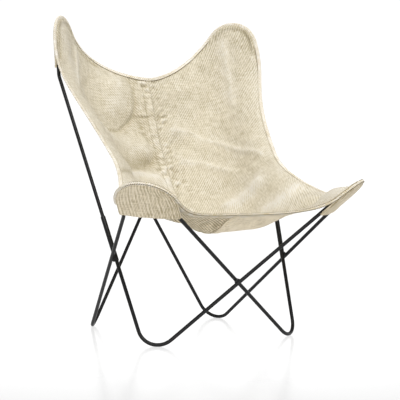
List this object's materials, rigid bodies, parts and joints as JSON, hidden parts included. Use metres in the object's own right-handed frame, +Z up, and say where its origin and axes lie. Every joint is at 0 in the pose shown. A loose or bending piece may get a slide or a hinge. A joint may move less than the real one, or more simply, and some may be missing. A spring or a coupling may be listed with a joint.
{
  "type": "butterfly sling chair",
  "caption": "Low lounge chair: a canvas sling hung by corner pockets on the round wings of a bent steel rod frame whose crossing loops end in floor bends.",
  "frame": {"origin": "on the floor, below the middle of the chair's box", "axes": "+Z up, -Y towards the front of the seat, +X to the right of the chair as seen by a viewer in front of it"},
  "size_m": [0.7176, 0.7364, 0.9055],
  "materials": {
    "rod_paint": "satin black paint on steel rod",
    "canvas": "coarse unbleached cotton canvas",
    "hem_canvas": "doubled and stitched canvas hem"
  },
  "bodies": {
    "root": {"left_base_rod": "rod_paint", "right_base_rod": "rod_paint", "left_back_wing_rod": "rod_paint", "right_back_wing_rod": "rod_paint", "left_side_sleeve": "rod_paint", "right_side_sleeve": "rod_paint", "left_rear_sleeve": "rod_paint", "right_rear_sleeve": "rod_paint", "left_side_weld": "rod_paint", "right_side_weld": "rod_paint", "front_cross_weld": "rod_paint", "rear_cross_weld": "rod_paint", "left_sling_half": "canvas", "right_sling_half": "canvas", "left_front_pocket": "canvas", "right_front_pocket": "canvas", "left_back_pocket": "canvas", "right_back_pocket": "canvas", "left_edge_hem": "hem_canvas", "right_edge_hem": "hem_canvas", "centre_seam_tape": "hem_canvas"}
  },
  "joints": []
}
